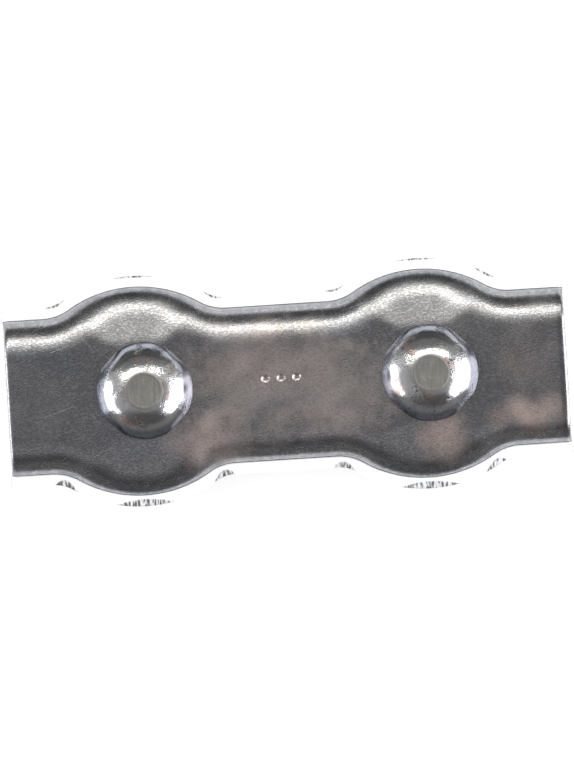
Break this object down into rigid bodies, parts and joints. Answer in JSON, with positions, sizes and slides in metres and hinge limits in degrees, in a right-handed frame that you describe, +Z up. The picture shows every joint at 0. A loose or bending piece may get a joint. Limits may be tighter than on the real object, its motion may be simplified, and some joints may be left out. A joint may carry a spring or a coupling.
{
  "type": "wire rope clip",
  "caption": "Nested pressed steel plates on domed square-neck bolts; hex nuts draw the plates together to clamp parallel steel ropes side by side between them.",
  "frame": {"origin": "on the ground plane midway between the two bolt axes, at the height of the bolt ends it stands on", "axes": "+X along the ropes and the row of bolts, +Y across the plates, +Z up, from the nuts to the round heads"},
  "size_m": [0.038, 0.0156, 0.014],
  "materials": {
    "head_plate_zinc": "satin zinc plate with a fine pressed grain",
    "nut_plate_zinc": "satin zinc plate, bare where it was cut",
    "bolt_zinc": "bright zinc plate, with a dull flat on the head",
    "nut_zinc": "bright zinc plate"
  },
  "bodies": {
    "head_plate": {"head_plate": "head_plate_zinc", "bolt_left": "bolt_zinc", "bolt_right": "bolt_zinc"},
    "nut_plate": {"nut_plate": "nut_plate_zinc"},
    "nut_left": {"nut_left": "nut_zinc"},
    "nut_right": {"nut_right": "nut_zinc"}
  },
  "joints": [
    {"name": "nut_plate_slide", "type": "slide", "parent": "head_plate", "child": "nut_plate", "axis": [0, 0, -1], "range_m": [-0.00175, 0.0028]},
    {"name": "nut_left_turn", "type": "hinge", "parent": "nut_plate", "child": "nut_left", "pos_m": [-0.0096, 0, 0.0045], "axis": [0, 0, -1], "range_deg": [-900, 1440]},
    {"name": "nut_right_turn", "type": "hinge", "parent": "nut_plate", "child": "nut_right", "pos_m": [0.0096, 0, 0.0045], "axis": [0, 0, -1], "range_deg": [-900, 1440]}
  ],
  "couplings": [
    {"joint": "nut_left_turn", "follows": "nut_plate_slide", "rad_per_m": 8976},
    {"joint": "nut_right_turn", "follows": "nut_plate_slide", "rad_per_m": 8976}
  ]
}
